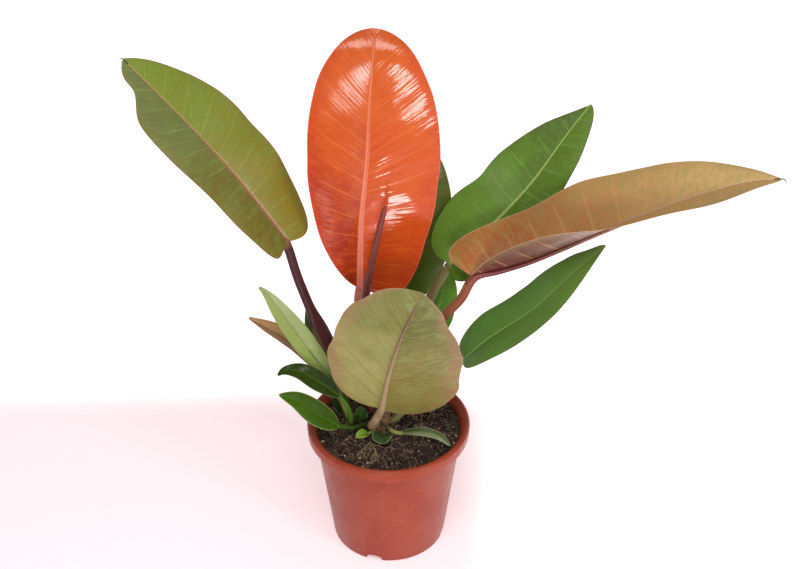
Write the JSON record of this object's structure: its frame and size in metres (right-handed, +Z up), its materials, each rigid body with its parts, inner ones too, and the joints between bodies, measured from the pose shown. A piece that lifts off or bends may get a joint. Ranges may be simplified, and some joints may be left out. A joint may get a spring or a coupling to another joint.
{
  "type": "potted foliage plant",
  "caption": "Young leafy houseplant: large oval orange, bronze and green leaves on stalks from a short stem, with a rolled new leaf, in a tapered plastic pot of soil.",
  "frame": {"origin": "centre of the pot's underside, on the surface that the pot stands on", "axes": "+Z up the pot's axis, +X to the right of the picture, -Y towards the viewer"},
  "size_m": [0.6109, 0.2131, 0.5563],
  "materials": {
    "pot": "satin moulded plastic, terracotta red",
    "soil": "moist dark peat, crumbly",
    "main_stem": "dry papery sheaths over a ringed stem",
    "side_stem": "smooth green shoot",
    "orange_leaf_blade": "glossy, bright orange",
    "orange_leaf_stalk": "smooth leaf stalk",
    "olive_leaf_blade": "waxy olive green",
    "olive_leaf_stalk": "smooth leaf stalk",
    "bronze_leaf_blade": "waxy bronze",
    "bronze_leaf_stalk": "smooth leaf stalk",
    "upper_green_leaf_blade": "waxy mid green",
    "upper_green_leaf_stalk": "smooth leaf stalk",
    "lower_green_leaf_blade": "waxy deep green",
    "lower_green_leaf_stalk": "smooth leaf stalk",
    "front_round_leaf_blade": "matt olive beige underside",
    "front_round_leaf_stalk": "smooth leaf stalk",
    "rear_green_leaf_blade": "waxy dark green",
    "rear_green_leaf_stalk": "smooth leaf stalk",
    "inner_green_leaf_blade": "waxy bright green",
    "inner_green_leaf_stalk": "smooth leaf stalk",
    "pale_side_leaf": "waxy young leaf with its stalk",
    "bronze_side_leaf": "waxy young leaf with its stalk",
    "short_side_leaf": "waxy young leaf with its stalk",
    "glossy_side_leaf": "waxy young leaf with its stalk",
    "low_side_leaf": "waxy young leaf with its stalk",
    "shaded_left_leaf": "waxy young leaf with its stalk",
    "shaded_right_leaf": "waxy young leaf with its stalk",
    "strap_leaf": "waxy young leaf with its stalk",
    "bright_scale_leaf": "waxy young leaf with its stalk",
    "dark_scale_leaf": "waxy young leaf with its stalk",
    "rolled_new_leaf": "glossy dark maroon, tightly rolled"
  },
  "bodies": {
    "root": {"pot": "pot", "soil": "soil", "main_stem": "main_stem", "side_stem": "side_stem", "orange_leaf_blade": "orange_leaf_blade", "orange_leaf_stalk": "orange_leaf_stalk", "olive_leaf_blade": "olive_leaf_blade", "olive_leaf_stalk": "olive_leaf_stalk", "bronze_leaf_blade": "bronze_leaf_blade", "bronze_leaf_stalk": "bronze_leaf_stalk", "upper_green_leaf_blade": "upper_green_leaf_blade", "upper_green_leaf_stalk": "upper_green_leaf_stalk", "lower_green_leaf_blade": "lower_green_leaf_blade", "lower_green_leaf_stalk": "lower_green_leaf_stalk", "front_round_leaf_blade": "front_round_leaf_blade", "front_round_leaf_stalk": "front_round_leaf_stalk", "rear_green_leaf_blade": "rear_green_leaf_blade", "rear_green_leaf_stalk": "rear_green_leaf_stalk", "inner_green_leaf_blade": "inner_green_leaf_blade", "inner_green_leaf_stalk": "inner_green_leaf_stalk", "pale_side_leaf": "pale_side_leaf", "bronze_side_leaf": "bronze_side_leaf", "short_side_leaf": "short_side_leaf", "glossy_side_leaf": "glossy_side_leaf", "low_side_leaf": "low_side_leaf", "shaded_left_leaf": "shaded_left_leaf", "shaded_right_leaf": "shaded_right_leaf", "strap_leaf": "strap_leaf", "bright_scale_leaf": "bright_scale_leaf", "dark_scale_leaf": "dark_scale_leaf", "rolled_new_leaf": "rolled_new_leaf"}
  },
  "joints": []
}
